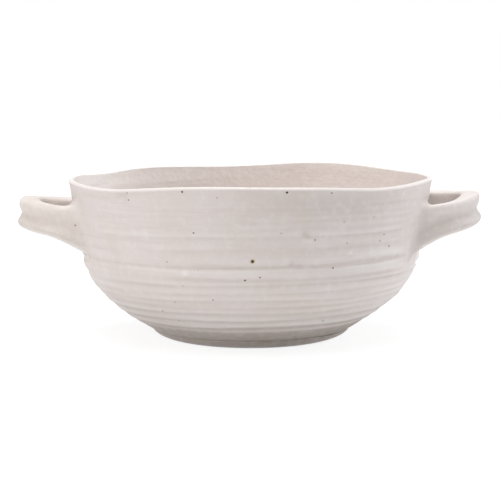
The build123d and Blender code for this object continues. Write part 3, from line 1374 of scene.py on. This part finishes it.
@dataclass(frozen=True)
class Glaze:
    """Satin off-white stoneware glaze with iron specks.

    Attributes:
        name: Name of the material.
        base: Colour of the glaze, linear.
        warm: Colour where it lies thin, linear.
        wall_base: Colour of the glaze where a luting runs out on the wall, linear.
        wall_warm: Colour where it lies thin there, linear.
        pool: Colour of its dust and streaks, linear.
        deep_glaze_and_shade: Colour where it gathers in grooves, and of painted shade, linear.
        pale: Colour of its mottle, where it breaks white over edges, and of painted light, linear.
        iron: Colour of the iron specks, linear.
        halo: Colour that bleeds round a large speck, linear.
        roughness: Least and greatest roughness.
        dull: Noise between them.
        lip_share: Share of the pale colour at the lip, partly a painted highlight.
        clouds, mottle, dust, streaks: Layers of the colour.
        pebbles, swells, fine, lines: Layers of the surface.
        drawn: Scale of the streaks and lines, which turning drew out round the bowl.
        pebble_weight: Weight of the pebbles outside the bowl, and again what is added inside it.
        inner_from: Value of the field inner from which all of that is added.
        grain: Height of the pebbled surface, in mm.
        ragged: Layer that roughens the specks' edges, whose weight is in mm.
        spot: Outer and inner edge of a speck, in radii.
        ring: Outer and inner edge of its halo, in radii.
        ring_share: Strength of the halo as a share of the speck's.
        halo_from: Least radius of a speck that bleeds into the glaze, in mm.
        speck_pitch: Spacing of the scattered specks in the clay, in mm.
        speck_from: Share of the scattered places that stay bare.
        speck_size: Radius of the largest scattered speck, in pitches.
        speck_core: Share of that radius that is fully dark.
        speck_full: Chance value from which a scattered speck has its full strength.
        speck_bleed: Strength of the halo of a scattered speck.
    """

    name: str
    base: Colour = (0.720, 0.655, 0.635, 1.0)
    warm: Colour = (0.700, 0.625, 0.590, 1.0)
    wall_base: Colour = (0.720, 0.655, 0.635, 1.0)
    wall_warm: Colour = (0.700, 0.625, 0.590, 1.0)
    pool: Colour = (0.600, 0.535, 0.505, 1.0)
    deep_glaze_and_shade: Colour = (0.600, 0.535, 0.505, 1.0)
    pale: Colour = (0.840, 0.795, 0.770, 1.0)
    iron: Colour = (0.014, 0.010, 0.008, 1.0)
    halo: Colour = (0.600, 0.470, 0.220, 1.0)
    roughness: tuple[float, float] = (0.40, 0.56)
    dull: Layer = Layer(60.0, 4.0, 0.3, 0.7)
    lip_share: float = 0.5
    clouds: Layer = Layer(38.0, 5.0, 0.36, 0.66)
    mottle: Layer = Layer(260.0, 4.0, 0.45, 0.78, 0.3)
    dust: Layer = Layer(900.0, 2.0, 0.60, 0.78, 0.35)
    streaks: Layer = Layer(420.0, 3.0, 0.50, 0.75, 0.35)
    pebbles: Layer = Layer(430.0, 3.0)
    swells: Layer = Layer(150.0, 2.0)
    fine: Layer = Layer(1700.0, 2.0, top=0.3)
    lines: Layer = Layer(700.0, 3.0, top=0.5)
    drawn: tuple[float, float, float] = (0.06, 0.06, 1.0)
    pebble_weight: float = 0.7
    inner_from: float = 0.3
    grain: float = 0.25
    ragged: Layer = Layer(1500.0, 2.0, top=0.5)
    spot: tuple[float, float] = (1.15, 0.7)
    ring: tuple[float, float] = (2.0, 0.9)
    ring_share: float = 0.8
    halo_from: float = 0.7
    speck_pitch: float = 7.0
    speck_from: float = 0.35
    speck_size: float = 0.075
    speck_core: float = 0.4
    speck_full: float = 0.8
    speck_bleed: float = 0.3

    def scattered_specks(self, nodes: Nodes, coordinate: Socket) -> Socket:
        """Mask of small specks at random places in the clay: cells of about one pitch, few of them dark.

        Args:
            nodes: Nodes of the material.
            coordinate: Object coordinates.

        Returns:
            Mask from 0 to 1.
        """
        inputs = {"Vector": coordinate, "Scale": 1.0 / (self.speck_pitch * MM)}
        cells = nodes.add("ShaderNodeTexVoronoi", inputs)
        chance = nodes.add("ShaderNodeSeparateColor", {0: cells.outputs["Color"]})
        edge = nodes.ramp(chance.outputs[0], self.speck_from, 1.0, self.speck_size)
        core = nodes.math("MULTIPLY", edge, self.speck_core)
        mask = nodes.ramp(cells.outputs["Distance"], edge, core)
        return nodes.math("MULTIPLY", mask, nodes.ramp(chance.outputs[1], 0.0, self.speck_full))

    def iron_masks(self, nodes: Nodes, coordinate: Socket, specks: list[SpeckPlace]) -> tuple[Socket, Socket]:
        """Masks of the specks with a place of their own and of the small ones scattered through the clay.

        Args:
            nodes: Nodes of the material.
            coordinate: Object coordinates.
            specks: Iron specks with a place of their own.

        Returns:
            Masks of the specks and of their halos, from 0 to 1.
        """
        middle = 0.5
        ragged = nodes.math("SUBTRACT", nodes.noise(coordinate, self.ragged), middle)
        ragged = nodes.math("MULTIPLY", ragged, self.ragged.top * MM)
        dark = self.scattered_specks(nodes, coordinate)
        bleed = nodes.math("MULTIPLY", dark, self.speck_bleed)
        for speck in specks:
            inputs = {0: coordinate, 1: tuple(value * MM for value in speck.point)}
            away = nodes.add("ShaderNodeVectorMath", inputs, operation="DISTANCE").outputs["Value"]
            away = nodes.math("ADD", away, ragged)
            radius = speck.size * MM
            spot = nodes.ramp(away, self.spot[0] * radius, self.spot[1] * radius, speck.strength)
            dark = nodes.math("MAXIMUM", dark, spot)
            if speck.size > self.halo_from:
                strength = self.ring_share * speck.strength
                ring = nodes.ramp(away, self.ring[0] * radius, self.ring[1] * radius, strength)
                bleed = nodes.math("MAXIMUM", bleed, ring)
        return dark, bleed

    def build(self, specks: list[SpeckPlace]) -> bpy.types.Material:
        """Make the material.

        Args:
            specks: Iron specks with a place of their own.

        Returns:
            The material.
        """
        material = bpy.data.materials.new(self.name)
        nodes = Nodes(material)
        coordinate = nodes.place()
        drawn = nodes.add("ShaderNodeMapping", {"Vector": coordinate, "Scale": self.drawn}).outputs[0]
        ridge, lip, inner, wall = (nodes.field(name) for name in ("ridge", "lip", "inner", "wall"))

        # Colour: thin and thick glaze in clouds, gathered glaze, painted light and shade, and a pale lip
        cloud = nodes.math("MAXIMUM", nodes.mask(coordinate, self.clouds), inner)
        thick = nodes.mix(wall, self.base, self.wall_base)
        thin = nodes.mix(wall, self.warm, self.wall_warm)
        colour = nodes.mix(cloud, thick, thin)
        # Darker by gathered glaze and painted shade, paler by glaze breaking thin and painted light
        colour = nodes.mix(nodes.stretch(ridge, PLAIN_RIDGE, 0.0), colour, self.deep_glaze_and_shade)
        colour = nodes.mix(nodes.stretch(ridge, PLAIN_RIDGE, 1.0), colour, self.pale)
        colour = nodes.mix(nodes.mask(coordinate, self.mottle), colour, self.pale)
        colour = nodes.mix(nodes.mask(coordinate, self.dust), colour, self.pool)
        colour = nodes.mix(nodes.mask(drawn, self.streaks), colour, self.pool)
        # Pale lip, partly a painted highlight
        colour = nodes.mix(nodes.math("MULTIPLY", lip, self.lip_share), colour, self.pale)

        # Iron over it
        dark, bleed = self.iron_masks(nodes, coordinate, specks)
        colour = nodes.mix(bleed, colour, self.halo)
        colour = nodes.mix(dark, colour, self.iron)

        # Surface: pebbled glaze with fine grain and drawn lines, and uneven gloss
        coarse = nodes.ramp(inner, 0.0, self.inner_from, self.pebble_weight)
        coarse = nodes.math("ADD", coarse, self.pebble_weight)
        height = nodes.math("MULTIPLY", nodes.noise(coordinate, self.pebbles), coarse)
        height = nodes.math("ADD", height, nodes.noise(coordinate, self.swells))
        height = nodes.math("ADD", height, nodes.weighted(coordinate, self.fine))
        height = nodes.math("ADD", height, nodes.weighted(drawn, self.lines))
        inputs = {"Strength": 1.0, "Distance": self.grain * MM, "Height": height}
        bump = nodes.add("ShaderNodeBump", inputs).outputs[0]
        dull = nodes.noise(coordinate, self.dull)
        rough = nodes.stretch(dull, self.dull.low, self.dull.high, *self.roughness)
        inputs = {"Base Color": colour, "Roughness": rough, "Normal": bump}
        shader = nodes.add("ShaderNodeBsdfPrincipled", inputs)
        nodes.add("ShaderNodeOutputMaterial", {"Surface": shader.outputs[0]})
        return material


@dataclass(frozen=True)
class Softbox:
    """A square studio lamp that faces the bowl.

    Attributes:
        name: Name of the lamp.
        place: Where it hangs, in m.
        size: Length of its side, in m.
        power: Power in W.
        tint: Colour, linear.
    """

    name: str
    place: tuple[float, float, float]
    size: float
    power: float
    tint: tuple[float, float, float]

    def build(self) -> None:
        """Hang the lamp."""
        lamp = bpy.data.lights.new(self.name, "AREA")
        lamp.shape = "SQUARE"
        lamp.size = self.size
        lamp.energy = self.power
        lamp.color = self.tint
        holder = bpy.data.objects.new(self.name, lamp)
        holder.location = self.place
        aim = Vector(LAMP_AIM) - Vector(self.place)
        holder.rotation_euler = aim.to_track_quat("-Z", "Y").to_euler()
        bpy.context.scene.collection.objects.link(holder)


@dataclass
class Studio:
    """White table, white surroundings and soft lamps, the strongest above and the next at the left.

    Attributes:
        floor_reach: Half the table's side, in m.
        floor_white: Paleness of the table under the lamps.
        glow: Brightness of the white that the table fades to.
        near_share: Share of that white next to the bowl, where the table keeps the bowl's shadow.
        near, far: Distances from the bowl between which the share grows to 1, in m.
        ambient: Light of the surroundings.
        lamps: The lamps.
    """

    floor_reach: float = 4.0
    floor_white: float = 0.9
    glow: float = 1.2
    near_share: float = 0.72
    near: float = 0.2
    far: float = 0.7
    ambient: Colour = (0.13, 0.13, 0.132, 1.0)
    lamps: tuple[Softbox, ...] = (
        Softbox("left_softbox", (-1.2, -0.45, 0.55), 0.9, 6.85, (1.0, 0.985, 0.97)),
        Softbox("right_softbox", (1.25, 0.0, 0.35), 0.9, 4.7, (0.92, 0.965, 1.0)),
        Softbox("rear_softbox", (1.1, 0.5, 0.6), 0.9, 3.7, (0.92, 0.965, 1.0)),
        Softbox("top_softbox", (0.0, 0.0, 1.3), 0.8, 12.2, (1.0, 1.0, 1.0)),
        Softbox("front_softbox", (-0.15, -0.75, 1.1), 0.6, 2.5, (1.0, 1.0, 1.0)),
        Softbox("low_softbox", (0.0, -1.6, 0.3), 0.9, 2.3, (1.0, 1.0, 1.0)),
    )

    def floor_material(self) -> bpy.types.Material:
        """Make the table's material: plain white to the light, and to the camera and gloss a soft white.

        Returns:
            The material.
        """
        material = bpy.data.materials.new("white_table")
        nodes = Nodes(material)
        plain = (self.floor_white, self.floor_white, self.floor_white, 1.0)
        table = nodes.add("ShaderNodeBsdfDiffuse", {"Color": plain}).outputs[0]
        glow = nodes.add("ShaderNodeEmission", {"Color": WHITE, "Strength": self.glow}).outputs[0]
        away = nodes.add("ShaderNodeVectorMath", {0: nodes.place()}, operation="LENGTH").outputs["Value"]
        inputs = {"Value": away, "From Min": self.near, "From Max": self.far, "To Min": self.near_share}
        share = nodes.add("ShaderNodeMapRange", inputs, interpolation_type="SMOOTHSTEP").outputs[0]
        soft = nodes.add("ShaderNodeMixShader", {0: share, 1: table, 2: glow}).outputs[0]
        mixed = nodes.add("ShaderNodeMixShader", {0: nodes.seen(), 1: table, 2: soft})
        nodes.add("ShaderNodeOutputMaterial", {"Surface": mixed.outputs[0]})
        return material

    def build(self) -> None:
        """Lay the table, set the surroundings and hang the lamps."""
        reach = self.floor_reach
        corners = [(-reach, -reach, 0.0), (reach, -reach, 0.0), (reach, reach, 0.0), (-reach, reach, 0.0)]
        mesh = bpy.data.meshes.new("table")
        mesh.from_pydata(corners, [], [(0, 1, 2, 3)])
        mesh.materials.append(self.floor_material())
        table = bpy.data.objects.new("table", mesh)
        bpy.context.scene.collection.objects.link(table)

        world = bpy.data.worlds.new("white_room")
        bpy.context.scene.world = world
        nodes = Nodes(world)
        room = nodes.add("ShaderNodeBackground", {"Color": self.ambient, "Strength": 1.0}).outputs[0]
        white = nodes.add("ShaderNodeBackground", {"Color": WHITE, "Strength": 1.0}).outputs[0]
        mixed = nodes.add("ShaderNodeMixShader", {0: nodes.seen(), 1: room, 2: white})
        nodes.add("ShaderNodeOutputWorld", {"Surface": mixed.outputs[0]})
        for lamp in self.lamps:
            lamp.build()
        bpy.context.scene.view_settings.view_transform = "Standard"


def main() -> None:
    """Build the studio and every piece of the bowl."""
    logging.basicConfig(level=logging.INFO, format="%(name)s: %(message)s")
    view = Viewpoint()
    view.build()
    Studio().build()

    bowl = Bowl()
    specks = [
        SpeckPlace(tuple(bowl.front_point(mark.column, mark.row, view)), mark.size, mark.strength)
        for mark in IRON_SPECKS
    ]
    left_glaze = Glaze(
        "left_strap_glaze",
        base=(0.720, 0.655, 0.615, 1.0),
        warm=(0.690, 0.615, 0.560, 1.0),
        speck_from=0.7,
    )
    right_glaze = Glaze("right_strap_glaze", speck_from=0.7)
    # The foot's glaze is darker by painted shade
    foot_glaze = Glaze("foot_glaze", base=(0.455, 0.391, 0.354, 1.0), warm=(0.435, 0.371, 0.328, 1.0))
    left_speck = SpeckPlace(point=(-78.55, -32.34, 55.21), size=0.34, strength=0.8)
    strap_glazes = {
        Side.LEFT: left_glaze.build([left_speck]),
        Side.RIGHT: right_glaze.build([]),
    }
    # The bowl's darkest colour is darker still, for its painted shade low on the belly and by the foot
    bowl.build(view, Glaze("bowl_glaze", deep_glaze_and_shade=(0.360, 0.295, 0.245, 1.0)).build(specks))
    FootRing().build(foot_glaze.build([]))

    left_strap = StrapHandle(
        Side.LEFT,
        bowl,
        tip_drop=9.7,
        front_drop=12.6,
        rear_drop=12.8,
        tip=103.1,
        thickness=10.6,
        root_height=22.1,
        upper_corner=0.50,
        # Painted highlights, light and shade of the left strap's glaze
        edge_painted_highlight=0.10,
        face_painted_light=0.04,
        groove_gathered_and_shade=0.2,
    )
    right_strap = StrapHandle(
        Side.RIGHT,
        bowl,
        tip_drop=7.5,
        front_drop=12.3,
        rear_drop=9.2,
        tip=102.9,
        height=14.6,
        root_height=22.4,
        flare_power=13.0,
        upper_corner=0.30,
        # Painted highlights, light and shade of the right strap's glaze
        edge_painted_highlight=0.60,
        face_painted_light=0.12,
        groove_gathered_and_shade=0.85,
        lobe_gathered_and_shade=0.38,
        inner_painted_shade=0.25,
        tip_painted_shade=0.42,
    )
    luting_sizes = {
        # Less painted shade in the left lutings' hollows
        Side.LEFT: {"least_width": 2.0, "most_width": 6.5, "widest_at": 60.0, "valley_gathered_and_shade": 0.06},
        Side.RIGHT: {},
    }
    for strap in (left_strap, right_strap):
        strap.build(strap_glazes[strap.side])
        for end in End:
            Luting(strap, end, **luting_sizes[strap.side]).build(strap_glazes[strap.side])


if __name__ == "__main__":
    main()
